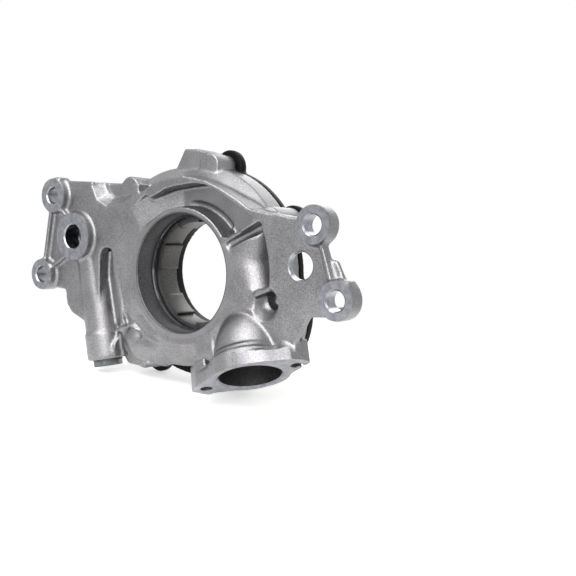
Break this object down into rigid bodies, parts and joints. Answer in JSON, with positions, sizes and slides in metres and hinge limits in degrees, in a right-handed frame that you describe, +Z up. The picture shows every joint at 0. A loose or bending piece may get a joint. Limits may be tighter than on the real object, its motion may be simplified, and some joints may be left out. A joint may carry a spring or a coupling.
{
  "type": "engine oil pump",
  "caption": "Crank-driven gerotor oil pump: cast aluminium housing with mounting wings, black cover, ring of bolts, rotor pair, relief valve and a slanted suction flange.",
  "frame": {"origin": "on the crank axis at the front face of the hub, towards the engine block", "axes": "+Y along the crank axis towards the cover; +X to the right and +Z up as seen from the block side; the mounting faces lie 6 mm in front of the origin"},
  "size_m": [0.2143, 0.0571, 0.1245],
  "materials": {
    "cast_aluminium": "as-cast, fine grained, with machined ring faces",
    "black_cover": "black coated casting, semi-matt",
    "black_bolts": "black oxide, semi-matt",
    "sintered_steel": "sintered steel with ground faces",
    "sintered_steel_dark": "sintered steel, steam treated",
    "ground_steel": "ground steel",
    "spring_steel": "drawn spring wire",
    "zinc_plated_steel": "zinc plated",
    "washer_steel": "phosphated, dark grey"
  },
  "bodies": {
    "pump_body": {"pump_housing": "cast_aluminium", "cover_plate": "black_cover", "cover_bolt_1": "black_bolts", "cover_bolt_2": "black_bolts", "cover_bolt_3": "black_bolts", "cover_bolt_4": "black_bolts", "cover_bolt_5": "black_bolts", "cover_bolt_6": "black_bolts", "cover_bolt_7": "black_bolts", "relief_spring": "spring_steel", "relief_plug": "zinc_plated_steel", "plug_washer": "washer_steel"},
    "inner": {"inner_rotor": "sintered_steel"},
    "outer": {"outer_rotor": "sintered_steel_dark"},
    "valve": {"relief_piston": "ground_steel"}
  },
  "joints": [
    {"name": "outer_spin", "type": "hinge", "parent": "pump_body", "child": "outer", "pos_m": [0, 0.0205, 0.0029], "axis": [0, 1, 0], "continuous": true},
    {"name": "inner_spin", "type": "hinge", "parent": "pump_body", "child": "inner", "pos_m": [0, 0.0205, 0], "axis": [0, 1, 0], "continuous": true},
    {"name": "relief_slide", "type": "slide", "parent": "pump_body", "child": "valve", "axis": [0.2419, 0, -0.9703], "range_m": [0, 0.008], "stiffness_N_per_m": 2000, "deforming": ["relief_spring"]}
  ],
  "couplings": [
    {"joint": "inner_spin", "follows": "outer_spin", "ratio": 1.1}
  ]
}
